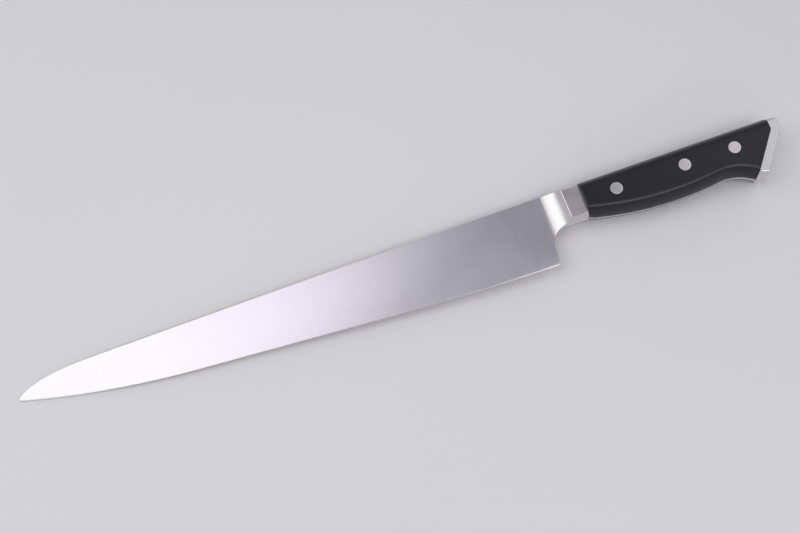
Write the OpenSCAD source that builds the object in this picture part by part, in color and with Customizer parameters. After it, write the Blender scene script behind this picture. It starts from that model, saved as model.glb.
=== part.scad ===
// A 300 mm carving knife with a full tang, a welded bolster, riveted scales and a steel end cap.
// The knife lies on its side: +X towards the butt, +Y towards the spine, +Z up through its thickness.
// The pieces are drawn about the heel of the blade, on the middle plane of the tang, and the whole
// is then set with its origin under the middle of its box, on the surface that the lower scale rests on.

/* [Blade] */
// Length from the tip to the heel
blade_length = 300; // [260:5:330]
// Height of the blade at the heel, which is also where the top line of the handle runs
heel_height = 39.5; // [37:0.5:44]
// Fall of the spine from the heel to the tip
spine_fall = 3; // [1:0.5:5]
// Rise of the spine's middle over a straight line
spine_crown = 0.45; // [0:0.05:1]
// Rise of the tip over the heel's edge, where the rounded nose ends
tip_rise = 27.5; // [26:0.1:29]
// Length of the nose, where the spine curves down to the tip
nose_length = 41; // [35:1:60]
// Slope of the cutting edge at the heel
edge_slope = 0.009; // [0:0.001:0.012]
// Length of the gently curved stretch of edge next to the heel
heel_sweep_length = 103; // [80:1:120]
// Radius of that stretch
heel_sweep_radius = 1650; // [1500:10:2000]
// Length of the curved stretch of edge that rises to the tip
tip_sweep_length = 96; // [80:1:110]
// Radius of that stretch
tip_sweep_radius = 530; // [480:10:700]
// Thickness of the sheet, which the tang keeps
tang_thickness = 2.2; // [1.8:0.1:3]
// Thickness of the ground blade at the spine over the heel
spine_thickness = 2; // [1.6:0.05:2.1]
// Thickness at the tip
tip_thickness = 0.6; // [0.5:0.05:1]
// Thickness behind the cutting edge at the heel
shoulder_thickness = 0.45; // [0.35:0.05:0.6]
// Height of the secondary bevel
bevel_height = 0.8; // [0.4:0.1:1.2]
// Thickness of the sharp edge itself
edge_thickness = 0.06; // [0.04:0.01:0.1]

/* [Neck and bolster] */
// Radius of the choil, from the heel up into the neck
choil_radius = 9; // [6:0.5:11]
// Lean of the blade's back edge over the height of the choil's centre
choil_lean = 1; // [0:0.1:2]
// Radius of the concave sweep from the blade up to the bolster
sweep_radius = 16.3; // [12:0.1:22]
// Distance from the heel to the start of the sweep
sweep_start = 1.2; // [0.5:0.1:4]
// Thickness of the bolster
bolster_thickness = 14; // [12:0.5:16]
// Distance from the heel to the rear face of the bolster
bolster_rear = 23.7; // [21:0.1:27]

/* [Handle] */
// Distance from the heel to the butt
butt_distance = 140.2; // [136:0.2:146]
// Thickness over the two scales
handle_thickness = 19; // [17:0.5:21]
// Radius of the rounded back and belly in cross-section
section_radius = 13; // [11:0.5:16]
// Distance from the heel to the deepest place of the belly
swell_distance = 73.5; // [70:0.5:77]
// Depth of the handle there
swell_depth = 27.1; // [26:0.1:29]
// Radius of the belly's long swell
swell_radius = 188; // [170:1:210]
// Radius of the finger hollow before the butt
hollow_radius = 25; // [22:0.5:28]
// Distance from the swell's deepest place to the middle of the hollow
hollow_spacing = 28; // [26:0.5:30]
// Distance from the heel to the hook of the butt
hook_distance = 120.7; // [119:0.1:122]
// Depth of the handle at the hook
hook_depth = 32.8; // [31.5:0.1:34]
// Angle of the hook's underside
hook_angle = 15; // [5:1:25]
// Radius of the scales' lower corners in side view
scale_corner = 3; // [1:0.5:4]
// Rounding of the scales' ends
end_round = 1.4; // [0.8:0.1:2]

/* [End cap] */
// Thickness of the end cap
cap_thickness = 17; // [15:0.5:18]
// Width of the cap at the top of the butt
cap_top_width = 5.4; // [4:0.1:7]
// Width of the cap along the slanted part of the butt
cap_width = 4.9; // [4:0.1:7]
// Depth below the top line where the butt turns from upright to slanted
butt_turn_depth = 9.3; // [7:0.1:12]
// Angle of the slanted part against the handle's length
butt_angle = 52.7; // [48:0.1:58]
// Radius of the butt's upper corner in side view
butt_corner = 6; // [3:0.5:8]

/* [Rivets] */
// Diameter of a rivet's head
rivet_head = 6.8; // [6:0.1:8]
// Thickness of a rivet's head
rivet_head_depth = 2.5; // [2:0.1:3.5]
// Outer diameter of the rivet's tube
rivet_tube = 5; // [4.4:0.1:5.4]
// Diameter of the solid pin that is driven into the tube
rivet_pin = 3; // [2.4:0.1:3.4]
// Distance from the heel to the front rivet
rivet_first = 42.3; // [38:0.1:46]
// Distance from the front rivet to the middle one
rivet_pitch_front = 39.9; // [36:0.1:44]
// Distance from the middle rivet to the rear one
rivet_pitch_rear = 29.3; // [26:0.1:32]
// Depth of the rivets' line below the handle's top line
rivet_depth = 11.7; // [10:0.1:13.5]
// Clearance between a rivet and its holes
rivet_clearance = 0.05; // [0.02:0.01:0.1]
// Room between the driven pin and its tube
pin_fit = 0.01; // [0.01:0.005:0.03]
// Room that the tube leaves under the other head, and the pin at the end of its bore
rivet_relief = 0.4; // [0.2:0.1:0.8]

/* [Hidden] */
steel = [0.80, 0.80, 0.83];
black = [0.13, 0.13, 0.16];

tang_half = tang_thickness / 2;
handle_half = handle_thickness / 2;
bolster_half = bolster_thickness / 2;
cap_half = cap_thickness / 2;
past = 1;
section_half = handle_half + past;
fine = 96;

// Straight parts of the grinding: half the blade's thickness is shoulder_half + rise * y + taper * x
shoulder_half = shoulder_thickness / 2;
flank_rise = (spine_thickness / 2 - shoulder_half) / heel_height;
flank_taper = (shoulder_half + flank_rise * tip_rise - tip_thickness / 2) / blade_length;
function flank(x, y) = shoulder_half + flank_rise * y + flank_taper * x;
flank_yaw = -atan(flank_taper);
flank_roll = atan(flank_rise * cos(flank_yaw));

// Cutting edge: a long arc at the heel, a straight middle and an arc up to the tip
straight_slope = edge_slope + heel_sweep_length / heel_sweep_radius;
function edge_y(s) =
    edge_slope * s
    + pow(min(s, heel_sweep_length), 2) / (2 * heel_sweep_radius)
    + (straight_slope - edge_slope) * max(s - heel_sweep_length, 0)
    + pow(max(s - blade_length + tip_sweep_length, 0), 2) / (2 * tip_sweep_radius);

// Spine: a straight fall with a slight crown, and then the nose as a smooth curve down to the tip
function spine_y(s) =
    heel_height - spine_fall * s / blade_length
    + 4 * spine_crown * (s / blade_length) * (1 - s / blade_length);
function spine_slope(s) =
    (-spine_fall + 4 * spine_crown * (1 - 2 * s / blade_length)) / blade_length;
nose_from = blade_length - nose_length;
nose_reach = 0.463 * nose_length;
nose_start = [-nose_from, spine_y(nose_from)];
nose_end = [-blade_length, tip_rise];
nose_pull = [
    nose_start,
    nose_start + [-nose_reach, nose_reach * spine_slope(nose_from)],
    nose_end + [0.117 * nose_length, 0.66 * (nose_start[1] - tip_rise)],
    nose_end
];
function curve(p, t) =
    pow(1 - t, 3) * p[0] + 3 * pow(1 - t, 2) * t * p[1] + 3 * (1 - t) * t * t * p[2] + pow(t, 3) * p[3];

edge_steps = 48;
spine_steps = 12;
nose_steps = 24;
edge_end = blade_length - 0.8;
edge_points = [for (i = [0 : edge_steps]) let (s = edge_end * i / edge_steps) [-s, edge_y(s)]];
nose_points = [for (i = [0 : nose_steps]) curve(nose_pull, 1 - i / nose_steps)];
spine_points = [for (i = [1 : spine_steps]) let (s = nose_from * (1 - i / spine_steps)) [-s, spine_y(s)]];

// Belly of the handle: a long swell and a finger hollow that touch each other in one point
swell_bottom = heel_height - swell_depth;
swell_centre = [swell_distance, swell_bottom + swell_radius];
hollow_drop = sqrt(pow(swell_radius + hollow_radius, 2) - pow(hollow_spacing, 2));
hollow_centre = swell_centre + [hollow_spacing, -hollow_drop];
function swell_y(x) = swell_centre[1] - sqrt(pow(swell_radius, 2) - pow(x - swell_distance, 2));
neck_bottom = swell_y(bolster_rear);
choil_centre = [choil_lean + choil_radius, neck_bottom - choil_radius];
choil_away = norm(choil_centre);
choil_bearing = atan2(choil_centre[1], choil_centre[0]) + asin(choil_radius / choil_away);
choil_touch = sqrt(pow(choil_away, 2) - pow(choil_radius, 2)) * [cos(choil_bearing), sin(choil_bearing)];

// Butt: an upright stretch and a slanted one, both followed by the inner border of the cap
butt_turn = [butt_distance, heel_height - butt_turn_depth];
slant = [cos(butt_angle), sin(butt_angle)];
slant_in = [-sin(butt_angle), cos(butt_angle)];
cap_shift = (cap_width - cap_top_width * sin(butt_angle)) / cos(butt_angle);
cap_turn = butt_turn + [-cap_top_width, cap_shift];
hook_bottom = heel_height - hook_depth;
handle_length = butt_distance - bolster_rear;

// Centres of the scales' rounded lower corners, each tangent to the end and to the belly
function toward(from, to) = (to - from) / norm(to - from);
front_corner_x = bolster_rear + scale_corner;
front_corner = [
    front_corner_x,
    swell_centre[1] - sqrt(pow(swell_radius - scale_corner, 2) - pow(front_corner_x - swell_distance, 2))
];
rear_line = cap_turn + scale_corner * slant_in;
rear_along = (rear_line - hollow_centre) * slant;
rear_off = norm(rear_line - hollow_centre - rear_along * slant);
rear_back = rear_along - sqrt(pow(hollow_radius + scale_corner, 2) - pow(rear_off, 2));
rear_corner = rear_line - rear_back * slant;

rivet_seat = handle_half - rivet_head_depth;
pin_end = rivet_seat - 2 * rivet_relief;
rivet_y = heel_height - rivet_depth;
rivet_at = [
    [rivet_first, rivet_y],
    [rivet_first + rivet_pitch_front, rivet_y],
    [rivet_first + rivet_pitch_front + rivet_pitch_rear, rivet_y]
];

// Point on the resting surface under the middle of the knife's box
origin = [(butt_distance - blade_length) / 2, heel_height / 2, -handle_half];

// Sets a piece that is drawn about the heel into the knife's own frame
module placed() {
    translate(-origin) children();
}

// Turns an upper piece into the lower one of its pair
module lower() {
    mirror([0, 0, 1]) children();
}

// Box between two corners
module block(low, high) {
    translate(low) cube(high - low);
}

// Everything behind a rounded back whose crest runs along X at y = 0
module crest() {
    translate([0, -section_radius, 0]) {
        rotate([0, 90, 0]) cylinder(r = section_radius, h = 2 * blade_length, center = true, $fn = fine);
        block([-blade_length, -blade_length, -section_half], [blade_length, 0, section_half]);
    }
}

// The same for a rounded belly whose lowest line runs along X at y = 0
module keel() {
    mirror([0, 1, 0]) crest();
}

// Barrel whose rim is the handle's rounded belly, swept along the long swell
module swell_barrel() {
    inner = swell_radius - section_radius;
    rotate_extrude($fn = 720) {
        translate([inner / 2, -section_half]) square([inner / 2, 2 * section_half]);
        translate([inner, 0]) circle(r = section_radius, $fn = fine);
    }
}

// Waisted spool that cuts an inward curve and leaves a rounded section beside it
module spool(radius) {
    outer = radius + section_radius;
    rotate_extrude($fn = 360) difference() {
        translate([0, -section_half]) square([outer, 2 * section_half]);
        translate([outer, 0]) circle(r = section_radius, $fn = fine);
    }
}

// What is taken off a corner in side view to leave it round; a and b point from its centre to its sides
module corner_waste(centre, a, b, radius) {
    reach = 4 * radius;
    difference() {
        polygon([centre, centre + reach * a, centre + reach * (a + b), centre + reach * b]);
        translate(centre) circle(r = radius, $fn = fine);
    }
}

// Line in side view through the point where the swell passes into the hollow, square to both
function across(y) = swell_centre + (hollow_centre - swell_centre) * (swell_centre[1] - y) / hollow_drop;

// Front part of the handle, over the swell
module front_body(half) {
    intersection() {
        translate([0, 0, -half]) linear_extrude(2 * half) polygon([
            [bolster_rear, -past],
            across(-past),
            across(heel_height + past),
            [bolster_rear, heel_height + past]
        ]);
        translate([0, heel_height, 0]) crest();
        translate(swell_centre) swell_barrel();
    }
}

// Rear part of the handle, over the hollow and the hook, with the slanted butt and its round upper corner
module rear_body(half) {
    corner = [butt_distance - butt_corner, heel_height - butt_corner];
    foot = butt_turn - slant * (butt_turn[1] + past) / slant[1];
    difference() {
        intersection() {
            translate([0, 0, -half]) linear_extrude(2 * half) difference() {
                polygon([
                    across(-past),
                    foot,
                    butt_turn,
                    [butt_distance, heel_height + past],
                    across(heel_height + past)
                ]);
                corner_waste(corner, [1, 0], [0, 1], butt_corner);
            }
            translate([0, heel_height, 0]) crest();
            translate([hook_distance, hook_bottom, 0]) rotate([0, 0, -hook_angle]) keel();
        }
        translate(hollow_centre) spool(hollow_radius);
    }
}

// The handle's whole body behind the bolster, with its rounded back and belly, cut to a thickness
module handle_body(half) {
    front_body(half);
    rear_body(half);
}

// Side view of the cap's place: all that lies behind its two inner borders
module cap_place() {
    far = 2 * butt_distance;
    polygon([
        cap_turn,
        cap_turn - slant * far,
        cap_turn - slant * far + [2 * far, 0],
        cap_turn + [far, far],
        cap_turn + [0, far]
    ]);
}

// Side view of a scale, with its two lower corners rounded
module scale_place() {
    difference() {
        translate([bolster_rear, -past]) square([butt_distance, heel_height + 2 * past]);
        cap_place();
        corner_waste(front_corner, [-1, 0], toward(swell_centre, front_corner), scale_corner);
        corner_waste(rear_corner, -slant_in, toward(rear_corner, hollow_centre), scale_corner);
    }
}

// What is taken off a scale to round its end; the piece lies on the +x side of the end
module end_waste(at, angle) {
    translate(at) rotate([0, 0, angle]) difference() {
        block([-past, -handle_length, handle_half - end_round], [end_round, handle_length, handle_half + past]);
        translate([end_round, 0, handle_half - end_round]) rotate([90, 0, 0])
            cylinder(r = end_round, h = 3 * handle_length, center = true, $fn = fine);
    }
}

// Grinding of the upper side: a flat flank, and the wheel's hollow where it runs up into the bolster
module grind() {
    translate([0, 0, shoulder_half]) rotate([flank_roll, flank_yaw, 0]) {
        block([-2 * blade_length, -blade_length, 0], [sweep_start, blade_length, blade_length]);
        translate([sweep_start, 0, sweep_radius]) rotate([90, 0, 0])
            cylinder(r = sweep_radius, h = 2 * blade_length, center = true, $fn = 4 * fine);
    }
}

// Upper side of the secondary bevel: a strip that is cut along the whole edge
module bevel() {
    edge_half = edge_thickness / 2;
    stations = [for (i = [-1 : edge_steps + 1]) edge_end * i / edge_steps];
    lean = function(s) flank(-s, edge_y(s) + bevel_height) - edge_half;
    points = [for (s = stations) each [
        [-s, edge_y(s) - bevel_height, edge_half - lean(s)],
        [-s, edge_y(s) + 2 * bevel_height, edge_half + 2 * lean(s)],
        [-s, edge_y(s) + 2 * bevel_height, tang_thickness],
        [-s, edge_y(s) - bevel_height, tang_thickness]
    ]];
    last = 4 * (len(stations) - 1);
    sides = [for (i = [0 : 4 : last - 1], k = [0 : 3]) let (n = (k + 1) % 4)
        [i + k, i + 4 + k, i + 4 + n, i + n]];
    polyhedron(points, concat([[0, 1, 2, 3]], sides, [[last + 3, last + 2, last + 1, last]]));
}

// Side view of the blade and the neck, up to a little way into the handle
module blade_outline() {
    stub = bolster_rear + scale_corner;
    difference() {
        polygon(concat(
            edge_points,
            nose_points,
            spine_points,
            [
                [stub, heel_height],
                [stub, neck_bottom],
                [choil_centre[0], neck_bottom],
                choil_centre,
                choil_touch
            ]
        ));
        translate(choil_centre) circle(r = choil_radius, $fn = fine);
    }
}

module rivet_hole(at) {
    translate([at[0], at[1], 0])
        cylinder(r = rivet_tube / 2 + rivet_clearance, h = 2 * handle_thickness, center = true, $fn = 48);
}

module head_hole(at) {
    translate([at[0], at[1], rivet_seat])
        cylinder(r = rivet_head / 2 + rivet_clearance, h = handle_thickness, $fn = 64);
}

module blade() {
    color(steel) placed() difference() {
        union() {
            intersection() {
                translate([0, 0, -tang_half]) linear_extrude(tang_thickness) blade_outline();
                translate([0, heel_height, 0]) crest();
            }
            handle_body(tang_half);
        }
        grind();
        lower() grind();
        bevel();
        lower() bevel();
        for (at = rivet_at) rivet_hole(at);
    }
}

module bolster_cheek() {
    difference() {
        intersection() {
            block([sweep_start, choil_centre[1], tang_half], [bolster_rear, heel_height, bolster_half]);
            translate([0, heel_height, 0]) crest();
            union() {
                translate([0, neck_bottom, 0]) keel();
                block([0, 0, 0], [choil_centre[0], heel_height, bolster_half]);
            }
        }
        translate(choil_centre) spool(choil_radius);
        grind();
    }
}

module bolster_upper() {
    color(steel) placed() bolster_cheek();
}

module bolster_lower() {
    color(steel) placed() lower() bolster_cheek();
}

module scale_cheek() {
    difference() {
        union() {
            intersection() {
                front_body(handle_half);
                translate([0, 0, tang_half]) linear_extrude(handle_half) scale_place();
            }
            intersection() {
                rear_body(handle_half);
                translate([0, 0, tang_half]) linear_extrude(handle_half) scale_place();
            }
        }
        end_waste([bolster_rear, 0], 0);
        end_waste(cap_turn, 180);
        end_waste(cap_turn, butt_angle + 90);
        for (at = rivet_at) {
            rivet_hole(at);
            head_hole(at);
        }
    }
}

module scale_upper() {
    color(black) placed() scale_cheek();
}

module scale_lower() {
    color(black) placed() lower() scale_cheek();
}

module cap_cheek() {
    intersection() {
        handle_body(cap_half);
        translate([0, 0, tang_half]) linear_extrude(cap_half) cap_place();
    }
}

module cap_upper() {
    color(steel) placed() cap_cheek();
}

module cap_lower() {
    color(steel) placed() lower() cap_cheek();
}

// Solid half of a rivet: a head in the upper scale and a pin that is driven into the tube below
module rivet_male(at) {
    color(steel) placed() translate([at[0], at[1], 0]) {
        translate([0, 0, rivet_seat]) cylinder(r = rivet_head / 2, h = rivet_head_depth, $fn = 64);
        translate([0, 0, -pin_end]) cylinder(r = rivet_pin / 2, h = rivet_seat + pin_end, $fn = 48);
    }
}

// Hollow half of a rivet: a head in the lower scale and a tube through scales and tang
module rivet_female(at) {
    color(steel) placed() translate([at[0], at[1], 0]) difference() {
        union() {
            translate([0, 0, -handle_half]) cylinder(r = rivet_head / 2, h = rivet_head_depth, $fn = 64);
            translate([0, 0, -rivet_seat]) cylinder(r = rivet_tube / 2, h = 2 * rivet_seat - rivet_relief, $fn = 48);
        }
        translate([0, 0, -pin_end - rivet_relief])
            cylinder(r = rivet_pin / 2 + pin_fit, h = 2 * handle_thickness, $fn = 48);
    }
}

module front_rivet_male() {
    rivet_male(rivet_at[0]);
}

module front_rivet_female() {
    rivet_female(rivet_at[0]);
}

module middle_rivet_male() {
    rivet_male(rivet_at[1]);
}

module middle_rivet_female() {
    rivet_female(rivet_at[1]);
}

module rear_rivet_male() {
    rivet_male(rivet_at[2]);
}

module rear_rivet_female() {
    rivet_female(rivet_at[2]);
}

blade();
bolster_upper();
bolster_lower();
scale_upper();
scale_lower();
cap_upper();
cap_lower();
front_rivet_male();
front_rivet_female();
middle_rivet_male();
middle_rivet_female();
rear_rivet_male();
rear_rivet_female();
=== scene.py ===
"""A carving knife that lies on its side on a pale floor.

Its blade, bolster and end cap are satin steel, and its two scales are black plastic on three rivets.
Shapes are written in millimetres from the heel's corner, with X towards the butt, Y towards the back
and Z out from the middle of the thickness. They go into the meshes in metres.
"""

import bpy
import numpy as np
from mathutils import Matrix, Vector


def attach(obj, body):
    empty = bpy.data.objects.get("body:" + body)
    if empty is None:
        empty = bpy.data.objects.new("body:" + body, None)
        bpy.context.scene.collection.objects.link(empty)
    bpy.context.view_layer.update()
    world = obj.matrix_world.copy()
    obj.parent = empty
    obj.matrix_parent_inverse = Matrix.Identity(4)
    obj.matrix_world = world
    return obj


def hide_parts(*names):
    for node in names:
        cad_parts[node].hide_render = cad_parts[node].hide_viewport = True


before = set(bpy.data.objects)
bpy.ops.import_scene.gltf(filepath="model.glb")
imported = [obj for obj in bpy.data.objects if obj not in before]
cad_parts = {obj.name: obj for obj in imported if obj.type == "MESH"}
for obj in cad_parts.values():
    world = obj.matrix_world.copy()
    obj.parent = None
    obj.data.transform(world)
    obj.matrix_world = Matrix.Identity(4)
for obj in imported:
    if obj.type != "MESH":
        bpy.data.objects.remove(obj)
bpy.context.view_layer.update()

# Blade and full tang: one sheet of stainless steel, flat ground on a belt, so that fine scratches
# run from the spine to the edge, with broader polishing marks and a faint cloudiness over them.
# The CAD blade keeps its shape and gets this finish.


class Socket:
    """An output socket that can be used in sums, so that a material reads as a formula."""

    def __init__(self, tree, out):
        self.tree = tree
        self.out = out

    def node(self, kind, inputs=(), out=0, **settings):
        """Adds a node with its settings and inputs, by name or number, and gives one of its outputs."""
        made = self.tree.nodes.new(kind)
        for name, value in settings.items():
            setattr(made, name, value)
        for key, value in dict(inputs).items():
            if isinstance(value, Socket):
                self.tree.links.new(value.out, made.inputs[key])
            else:
                made.inputs[key].default_value = value
        return Socket(self.tree, made.outputs[out])

    def maths(self, operation, other=0.0):
        """A Math node on this value and another."""
        return self.node("ShaderNodeMath", {0: self, 1: other}, operation=operation)

    def __add__(self, other):
        return self.maths("ADD", other)

    def __mul__(self, other):
        return self.maths("MULTIPLY", other)

    def __sub__(self, other):
        return self.maths("SUBTRACT", other)

    def __rsub__(self, other):
        return self * -1.0 + other

    __radd__ = __add__
    __rmul__ = __mul__

    def step(self, low, high, start=0.0, end=1.0):
        """Goes smoothly from start to end as the value goes from low to high."""
        ends = {"Value": self, "From Min": low, "From Max": high, "To Min": start, "To Max": end}
        return self.node("ShaderNodeMapRange", ends, interpolation_type="SMOOTHSTEP")

    def noise(self, scales, detail=2.0, seed=0.0):
        """Noise at so many features a metre along X, Y and Z. The value is the position."""
        spread = self.node("ShaderNodeVectorMath", {0: self, 1: scales}, operation="MULTIPLY")
        moved = self.node("ShaderNodeVectorMath", {0: spread, 1: (seed, seed, seed)}, operation="ADD")
        return self.node("ShaderNodeTexNoise", {"Vector": moved, "Scale": 1.0, "Detail": detail})

    def blend(self, first, second):
        """A colour that goes from first to second as the value goes from 0 to 1."""
        colours = {"Factor": self, 6: first, 7: second}
        return self.node("ShaderNodeMix", colours, out=2, data_type="RGBA")


def material(name, metallic):
    """A new material: its position, and a function that feeds its shader."""
    made = bpy.data.materials.new(name)
    made.use_nodes = True
    tree = made.node_tree
    shader = tree.nodes["Principled BSDF"]
    shader.inputs["Metallic"].default_value = metallic
    place = Socket(tree, tree.nodes.new("ShaderNodeTexCoord").outputs["Object"])

    def feed(colour, rough, height, depth):
        """Joins colour, roughness and a relief, so many metres deep, to the shader."""
        bump = place.node("ShaderNodeBump", {"Height": height, "Distance": depth, "Strength": 1.0})
        tree.links.new(colour.out, shader.inputs["Base Color"])
        tree.links.new(rough.out, shader.inputs["Roughness"])
        tree.links.new(bump.out, shader.inputs["Normal"])
        return made

    return place, feed


def round_shading():
    """A modifier's nodes that drop the mesh's own normals and smooth every edge but the sharp ones."""
    sharp = 0.47
    group = bpy.data.node_groups.new("round_shading", "GeometryNodeTree")
    group.interface.new_socket("Geometry", in_out="INPUT", socket_type="NodeSocketGeometry")
    group.interface.new_socket("Geometry", in_out="OUTPUT", socket_type="NodeSocketGeometry")
    given = group.nodes.new("NodeGroupInput")
    plain = group.nodes.new("GeometryNodeRemoveAttribute")
    plain.inputs["Name"].default_value = "custom_normal"
    faces = group.nodes.new("GeometryNodeSetShadeSmooth")
    faces.domain = "FACE"
    edges = group.nodes.new("GeometryNodeSetShadeSmooth")
    edges.domain = "EDGE"
    turn = group.nodes.new("GeometryNodeInputMeshEdgeAngle")
    gentle = group.nodes.new("FunctionNodeCompare")
    gentle.operation = "LESS_THAN"
    gentle.inputs[1].default_value = sharp
    result = group.nodes.new("NodeGroupOutput")
    group.links.new(given.outputs[0], plain.inputs[0])
    group.links.new(plain.outputs[0], faces.inputs["Geometry"])
    group.links.new(faces.outputs[0], edges.inputs["Geometry"])
    group.links.new(turn.outputs["Unsigned Angle"], gentle.inputs[0])
    group.links.new(gentle.outputs[0], edges.inputs["Shade Smooth"])
    group.links.new(edges.outputs[0], result.inputs[0])
    return group


place, feed = material("blade_satin_steel", 1.0)
grain = place.noise((5200.0, 45.0, 45.0), 3.0)
marks = place.noise((900.0, 14.0, 14.0), 2.0, 3.0)
cloud = place.noise((22.0, 40.0, 40.0), 3.0, 7.0)
tone = grain.step(0.3, 0.7) * 0.35 + marks.step(0.3, 0.7) * 0.25 + cloud.step(0.3, 0.7) * 0.4
steel = tone.blend((0.64, 0.62, 0.69, 1.0), (0.71, 0.69, 0.75, 1.0))
blade_steel = feed(steel, tone * 0.06 + 0.27, grain * 0.7 + marks * 0.3, 0.0000012)
shading = round_shading()
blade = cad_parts["blade"]
blade.data.materials.clear()
blade.data.materials.append(blade_steel)
weld = blade.modifiers.new("weld", "WELD")
weld.merge_threshold = 2e-6
blade.modifiers.new("shading", "NODES").node_group = shading

# Bolster cheeks: stainless steel, welded on both sides of the neck, ground into the blade in a
# hollow sweep and brushed along the knife. The choil behind the heel is round.
heel_corner = (79.9, -19.75, 9.5)
back_height = 39.5
round_radius = 13.0
bolster_start = 1.3
bolster_end = 23.7
bolster_half = 7.0
flank_at_edge = 0.225
flank_per_height = 0.01962
flank_per_length = 0.0023
wheel_radius = 16.3
wheel_start = 1.2
wheel_reach = 15.0
seam_lift = 0.012
sweep_crease = 0.3
choil_radius = 9.0
choil_reach = 8.9
choil_x = 10.0
choil_y = 10.12


def soft_min(a, b, wide):
    """The smaller of two heights, with the crease between them rounded over so many mm."""
    h = np.clip(0.5 + 0.5 * (b - a) / wide, 0.0, 1.0)
    return b * (1 - h) + a * h - wide * h * (1 - h)


def show(name, points, faces, finish):
    """Makes a piece of points in mm from the heel's corner, and fixes it to the knife."""
    mesh = bpy.data.meshes.new(name)
    mesh.from_pydata(((points + heel_corner) / 1000).tolist(), [], faces)
    mesh.materials.append(finish)
    mesh.update()
    piece = bpy.data.objects.new(name, mesh)
    bpy.context.scene.collection.objects.link(piece)
    piece.modifiers.new("shading", "NODES").node_group = shading
    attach(piece, "root")
    return piece


def cheek_grid(start, stop, low_line, length, columns):
    """Points in side view between two end borders. Columns crowd towards both ends and rows towards
    the belly and the back, so many mm in from each, where the rounding needs them. A slanted border
    makes X and Y depend on each other, so they are worked out in turns for a set number of rounds,
    each of which moves Y part of the way."""
    ends = np.array([0, 0.03, 0.1, 0.2, 0.35, 0.55, 0.8, 1.1, 1.4, 1.7, 2.0, 2.4]) / length
    middle = np.linspace(ends[-1], 1 - ends[-1], columns)[1:-1]
    along = np.concatenate([ends, middle, 1 - ends[::-1]])[None, :]
    rows = np.array([0, 0.02, 0.06, 0.12, 0.2, 0.32, 0.48, 0.7, 1.0, 1.35, 1.75, 2.2, 2.6, 2.95, 3.2,
                     3.4, 3.55, 3.7, 3.85, 4.0, 4.15, 4.3, 4.45, 4.6, 4.8, 5.1, 5.5])
    flat = np.linspace(0, 1, 25)[1:-1]
    deep = rows[-1]
    from_belly = np.concatenate([rows, deep + 0 * flat, deep + 0 * rows])[:, None]
    from_back = np.concatenate([deep + 0 * rows, deep + 0 * flat, rows[::-1]])[:, None]
    share = np.concatenate([0 * rows, flat, 0 * rows + 1])[:, None]
    rim_gap = 0.05
    reach = 0.05
    rounds = 60
    pull = 0.4
    guess = 20.0
    y = np.full((share.size, along.size), guess)
    for _ in range(rounds):
        x = start(y) + (stop(y) - start(y)) * along
        slope = (low_line(x + reach, y) - low_line(x - reach, y)) / (2 * reach)
        low = low_line(x, y) + rim_gap + from_belly * np.sqrt(1 + np.minimum(slope ** 2, 1.0))
        high = back_height - rim_gap - from_back
        y = (1 - pull) * y + pull * (low * (1 - share) + high * share)
    return x, y


def cheek(name, turn, finish, start, stop, low_line, depth, face, crease, gaps, ends, length,
          columns, rim=1.1):
    """One side of the handle or neck, on the upper side where turn is 1 and the lower where it is -1.
    The surface is a height over the side view, the least of these three: the outer face, a round of
    13 mm that rises from the belly and the back, and a small round that rises from each free end.
    Walls go down to the tang all round."""
    x, y = cheek_grid(start, stop, low_line, length, columns)
    inner = np.clip(depth(x, y), 0.0, round_radius)
    over = np.sqrt(np.maximum(round_radius ** 2 - (round_radius - inner) ** 2, 0.0))
    outer = face(x, y)
    z = soft_min(over, outer, crease)
    end_crease = 0.25
    end_lift = 0.12
    end_slope = 0.2
    for gap in gaps:
        edge = np.clip(gap(x, y), 0.0, ends)
        rise = np.sqrt(ends ** 2 - (ends - edge) ** 2) - ends
        z = soft_min(z, outer + rise + edge * end_slope + end_lift, end_crease)
    z = np.maximum(z, rim)
    wall_depth = 0.1
    point = np.arange(x.size).reshape(x.shape)
    ring = np.concatenate([point[0], point[1:, -1], point[-1, -2::-1], point[-2:0:-1, 0]])
    foot = x.size + np.arange(ring.size)
    points = np.stack([x, y, z], -1).reshape(-1, 3)
    skirt = points[ring]
    skirt[:, 2] = rim - wall_depth
    points = np.concatenate([points, skirt]) * (1, 1, turn)
    top = np.stack([point[:-1, :-1], point[:-1, 1:], point[1:, 1:], point[1:, :-1]], -1).reshape(-1, 4)
    wall = np.stack([np.roll(ring, -1), ring, foot, np.roll(foot, -1)], 1)
    return show(name, points, np.concatenate([top, wall])[:, ::turn].tolist(), finish)


def sweep(x, y):
    """Outer face: the blade's ground flank with a grinding wheel's hollow on it, up to the flat."""
    flank = flank_at_edge + flank_per_height * y + flank_per_length * x
    along = np.clip(x - wheel_start, 0.0, wheel_reach)
    hollow = wheel_radius - np.sqrt(wheel_radius ** 2 - along ** 2)
    return soft_min(flank + hollow + seam_lift, bolster_half + 0 * x, sweep_crease)


def choil(x, y):
    """Lower border: a quarter circle behind the heel, and the neck's straight bottom."""
    return choil_y + np.sqrt(choil_radius ** 2 - np.clip(choil_x - x, 0.0, choil_reach) ** 2)


def neck_depth(x, y):
    """Distance in from the back and from the lower border, in mm."""
    round_part = np.hypot(x - choil_x, y - choil_y) - choil_radius
    low = np.where(x < choil_x, round_part, y - choil_y - choil_radius)
    return np.minimum(back_height - y, low)


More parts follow.
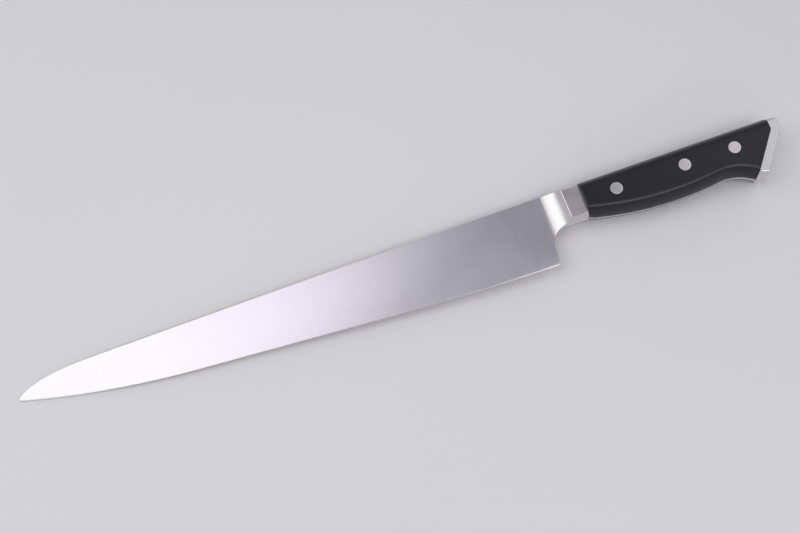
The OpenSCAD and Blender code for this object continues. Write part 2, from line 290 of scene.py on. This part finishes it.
place, feed = material("bolster_satin_steel", 1.0)
grain = place.noise((30.0, 1500.0, 1500.0), 2.0)
cloud = place.noise((70.0, 110.0, 110.0), 3.0, 2.0)
tone = grain.step(0.3, 0.7) * 0.3 + cloud.step(0.3, 0.7) * 0.7
steel = tone.blend((0.65, 0.63, 0.65, 1.0), (0.71, 0.69, 0.70, 1.0))
bolster_steel = feed(steel, tone * 0.05 + 0.27, grain, 0.0000004)
for side, turn in (("upper", 1), ("lower", -1)):
    bolster = cheek(
        "bolster_shell_" + side, turn, bolster_steel,
        start=lambda y: bolster_start + 0 * y,
        stop=lambda y: bolster_end + 0 * y,
        low_line=choil, depth=neck_depth, face=sweep, crease=0.25,
        gaps=(lambda x, y: bolster_end - x,), ends=0.25, length=10.0, columns=61, rim=0.2,
    )
    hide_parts("bolster_" + side)

# Handle scales: black plastic, machined to shape on the knife together with the steel and buffed
# to a soft sheen, with faint streaks along the handle and small rub marks. The belly is a long
# swell, a finger hollow and the straight underside of the hook.
scale_half = 9.5
swell_radius = 188.0
swell_x = 73.5
swell_y = 200.4
swell_end = 98.21
hollow_radius = 25.0
hollow_x = 101.5
hollow_y = -10.757
centre_line_lean = 0.1327
hook_x = 120.7
hook_y = 6.7
hook_fall = 0.26795
hook_cosine = 0.96593
cap_front = 134.8
cap_corner = 31.2
slant = 0.7618
slant_sine = 0.606
slant_cosine = 0.795
front_round = 3.0
rear_round = 2.6


def belly(x):
    """Height of the handle's lower outline in its mid-plane, in mm."""
    swell = swell_y - np.sqrt(swell_radius ** 2 - (x - swell_x) ** 2)
    hollow = hollow_y + np.sqrt(np.maximum(hollow_radius ** 2 - (x - hollow_x) ** 2, 0.0))
    hook = hook_y - hook_fall * (x - hook_x)
    return np.where(x < swell_end, swell, np.maximum(hollow, hook))


def inside(x, y):
    """Distance in from the mid-plane outline, in mm, at the back and at the belly."""
    swell = swell_radius - np.hypot(x - swell_x, y - swell_y)
    hollow = np.hypot(x - hollow_x, y - hollow_y) - hollow_radius
    hook = ((y - hook_y) + hook_fall * (x - hook_x)) * hook_cosine
    ahead = x + (y - hollow_y) * centre_line_lean < hollow_x
    low = np.where(ahead, swell, np.minimum(hollow, hook))
    return np.minimum(back_height - y, low)


def cap_border(y):
    """Border between scale and cap: upright at the back, then slanted forward to the belly."""
    return cap_front - np.maximum(cap_corner - y, 0.0) * slant


def slanted_gap(x, y, upright, corner):
    """Distance in front of an upright line and of the slanted line below its corner, in mm."""
    return np.minimum(upright - x, (y - corner) * slant_sine - (x - upright) * slant_cosine)


def scale_low(x, y):
    """The belly, with the scale's two lower corners rounded in side view."""
    front = np.clip(front_round - (x - bolster_end), 0.0, front_round)
    rear = np.clip(rear_round - (cap_border(y) - x) * slant_cosine, 0.0, rear_round)
    front_rise = front_round - np.sqrt(front_round ** 2 - front ** 2)
    return belly(x) + front_rise + rear_round - np.sqrt(rear_round ** 2 - rear ** 2)


place, feed = material("scale_black_plastic", 0.0)
grain = place.noise((2600.0, 2600.0, 2600.0), 2.0)
streak = place.noise((120.0, 1600.0, 1600.0), 3.0, 5.0)
rub = place.noise((60.0, 90.0, 90.0), 4.0, 9.0)
tone = streak.step(0.35, 0.75) * 0.5 + rub.step(0.4, 0.8) * 0.5
black = tone.blend((0.005, 0.005, 0.011, 1.0), (0.011, 0.011, 0.019, 1.0))
scale_plastic = feed(black, tone * 0.10 + 0.33, grain * 0.6 + streak * 0.4, 0.000006)
for side, turn in (("upper", 1), ("lower", -1)):
    scale = cheek(
        "scale_shell_" + side, turn, scale_plastic,
        start=lambda y: bolster_end + 0 * y,
        stop=cap_border, low_line=scale_low, depth=inside,
        face=lambda x, y: scale_half + 0 * x, crease=1.7,
        gaps=(lambda x, y: x - bolster_end, lambda x, y: slanted_gap(x, y, cap_front, cap_corner)),
        ends=1.4, length=105.0, columns=181,
    )
    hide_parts("scale_" + side)

# End cap cheeks: stainless steel, welded on both sides of the tang's end and polished over the
# butt, which is upright with a round upper corner and then slants forward as the scales do.
cap_half = 8.5
butt_x = 140.2
butt_corner = 30.2
corner_radius = 6.0
corner_x = 134.2
corner_y = 33.5


def butt_border(y):
    """Rear outline of the cap, never in front of its border with the scale."""
    arc = corner_radius ** 2 - np.maximum(y - corner_y, 0.0) ** 2
    upright = corner_x + np.sqrt(np.maximum(arc, 0.0))
    return np.maximum(upright - np.maximum(butt_corner - y, 0.0) * slant, cap_border(y) + 0.02)


def butt_gap(x, y):
    """Distance in from the butt, in mm: upright, slanted, and round the upper corner."""
    plain = slanted_gap(x, y, butt_x, butt_corner)
    rounded = corner_radius - np.hypot(x - corner_x, y - corner_y)
    return np.where((x > corner_x) & (y > corner_y), np.minimum(plain, rounded), plain)


place, feed = material("cap_satin_steel", 1.0)
grain = place.noise((40.0, 1300.0, 1300.0), 2.0, 4.0)
cloud = place.noise((120.0, 120.0, 120.0), 3.0, 6.0)
tone = grain.step(0.3, 0.7) * 0.3 + cloud.step(0.3, 0.7) * 0.7
steel = tone.blend((0.66, 0.65, 0.67, 1.0), (0.72, 0.71, 0.72, 1.0))
cap_steel = feed(steel, tone * 0.05 + 0.26, grain, 0.0000003)
for side, turn in (("upper", 1), ("lower", -1)):
    cap = cheek(
        "cap_shell_" + side, turn, cap_steel,
        start=cap_border, stop=butt_border, low_line=lambda x, y: belly(x), depth=inside,
        face=lambda x, y: cap_half + 0 * x, crease=0.5, gaps=(butt_gap,), ends=0.5,
        length=10.0, columns=13,
    )
    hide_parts("cap_" + side)

# Cutler's rivets: a solid half driven into a hollow one. Their heads are ground flush with the
# scales, which leaves a brighter ring round a slightly warmer middle.
rivet_height = 27.8
head_sides = 72
head_radii = np.array([3.4, 3.4, 3.39, 3.36, 3.3, 3.2, 2.6, 1.6, 0.6])
head_rises = np.array([9.3, 9.49, 9.52, 9.54, 9.55, 9.555, 9.565, 9.57, 9.572])


def rivet_finish(name, centre):
    """Turned steel whose colour changes with the distance from the rivet's axis."""
    place, feed = material(name, 1.0)
    x = place.node("ShaderNodeSeparateXYZ", {0: place}, out=0)
    y = place.node("ShaderNodeSeparateXYZ", {0: place}, out=1)
    across = x - (centre + heel_corner[0]) / 1000
    along = y - (rivet_height + heel_corner[1]) / 1000
    rim = (across * across + along * along).maths("SQRT").step(0.0027, 0.0030)
    grain = place.noise((90.0, 3200.0, 300.0), 3.0)
    cloud = place.noise((500.0, 500.0, 500.0), 2.0, 3.0)
    tone = grain.step(0.3, 0.7) * 0.2 + rim * 0.8
    steel = tone.blend((0.71, 0.66, 0.68, 1.0), (0.79, 0.78, 0.80, 1.0))
    return feed(steel, cloud * 0.08 + 0.26, grain, 0.000001)


def rivet_head(name, centre, turn, finish):
    """A profile of radii and rises turned round the rivet's axis, closed by a small flat lid."""
    angles = np.arange(head_sides) * (2 * np.pi / head_sides)
    x = centre + head_radii[:, None] * np.cos(angles)
    y = rivet_height + head_radii[:, None] * np.sin(angles)
    z = head_rises[:, None] + 0 * x
    point = np.arange(x.size).reshape(x.shape)
    onward = np.roll(point, -1, 1)
    sides = np.stack([point[:-1], onward[:-1], onward[1:], point[1:]], -1).reshape(-1, 4)
    faces = sides[:, ::turn].tolist() + [point[-1, ::turn].tolist()]
    points = np.stack([x, y, z], -1).reshape(-1, 3) * (1, 1, turn)
    return show(name, points, faces, finish)


for which, centre in (("front", 42.3), ("middle", 82.2), ("rear", 111.5)):
    rivet_steel = rivet_finish(which + "_rivet_steel", centre)
    for half, turn in (("male", 1), ("female", -1)):
        head = rivet_head(which + "_head_" + half, centre, turn, rivet_steel)
        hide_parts(which + "_rivet_" + half)

# Floor: a pale plain table top. The knife rests on it with its tip and the front of its handle,
# so it leans a little towards the tip.
floor_lean = Vector((0.0283, 0.0, 1.0)).normalized()
floor_reach = 6.0
floor_gap = 0.00005


def lowest_point(piece):
    """Height of a CAD piece's lowest corner, measured square to the floor."""
    corners = np.empty(len(piece.data.vertices) * 3, dtype=np.float32)
    piece.data.vertices.foreach_get("co", corners)
    return float((corners.reshape(-1, 3) @ np.array(floor_lean)).min())


lowest = min(lowest_point(piece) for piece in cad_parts.values())
side = floor_lean.cross(Vector((1.0, 0.0, 0.0))).normalized()
ahead = side.cross(floor_lean)
floor_corners = [
    tuple(floor_lean * (lowest - floor_gap) + ahead * (a * floor_reach) + side * (b * floor_reach))
    for a, b in ((-1, -1), (1, -1), (1, 1), (-1, 1))
]
place, feed = material("floor_pale", 0.0)
fibre = place.noise((700.0, 700.0, 700.0), 2.0)
shade = place.noise((5.0, 5.0, 5.0), 2.0, 4.0)
pale = (fibre * 0.3 + shade * 0.7).blend((0.79, 0.78, 0.785, 1.0), (0.84, 0.83, 0.835, 1.0))
sheet = bpy.data.meshes.new("floor")
sheet.from_pydata(floor_corners, [], [(0, 1, 2, 3)])
sheet.materials.append(feed(pale, fibre * 0.1 + 0.7, fibre, 0.00001))
floor = bpy.data.objects.new("floor", sheet)
bpy.context.scene.collection.objects.link(floor)

# Camera: where the photograph was taken from, 0.6 m over the table and looking steeply down.
camera_place = (-0.03187, -0.150523, 0.587095)
camera_turn = Matrix((
    (0.943722, 0.327179, -0.048425),
    (-0.327929, 0.906561, -0.265748),
    (-0.043042, 0.266647, 0.962826),
))
eye = bpy.data.cameras.new("camera")
eye.lens = 49.34
eye.sensor_width = 36.0
camera = bpy.data.objects.new("camera", eye)
camera.matrix_world = Matrix.Translation(camera_place) @ camera_turn.to_4x4()
bpy.context.scene.collection.objects.link(camera)
bpy.context.scene.camera = camera

# Light: a wide soft panel over the blade's tip, which the tip half of the blade mirrors, one over the
# butt for the handle's steel, a low one in front for the belly's gleam, and a pale room, dimmer overhead.
for name, spot, aim, wide, deep, power in (
    ("window", (-0.47, 0.15, 0.80), (-0.20, 0.0, 0.0), 0.76, 0.9, 2.95),
    ("butt_panel", (0.66, 0.22, 0.80), (0.15, 0.0, 0.0), 0.5, 0.5, 0.5),
    ("front_panel", (0.32, -0.40, 0.85), (0.22, 0.0, 0.0), 0.6, 0.36, 2.1),
):
    glow = bpy.data.lights.new(name, "AREA")
    glow.shape = "RECTANGLE"
    glow.size = wide
    glow.size_y = deep
    glow.energy = power
    light = bpy.data.objects.new(name, glow)
    look = (Vector(aim) - Vector(spot)).to_track_quat("-Z", "Y")
    light.matrix_world = Matrix.Translation(spot) @ look.to_matrix().to_4x4()
    bpy.context.scene.collection.objects.link(light)
room = bpy.data.worlds.new("room")
room.use_nodes = True
back = room.node_tree.nodes["Background"]
back.inputs["Color"].default_value = (0.93, 0.93, 1.0, 1.0)
sky = Socket(room.node_tree, room.node_tree.nodes.new("ShaderNodeTexCoord").outputs["Generated"])
up = sky.node("ShaderNodeSeparateXYZ", {0: sky}, out=2)
room.node_tree.links.new(up.step(0.0, 1.0, 0.66, 0.25).out, back.inputs["Strength"])
bpy.context.scene.world = room
bpy.context.scene.view_settings.view_transform = "Standard"
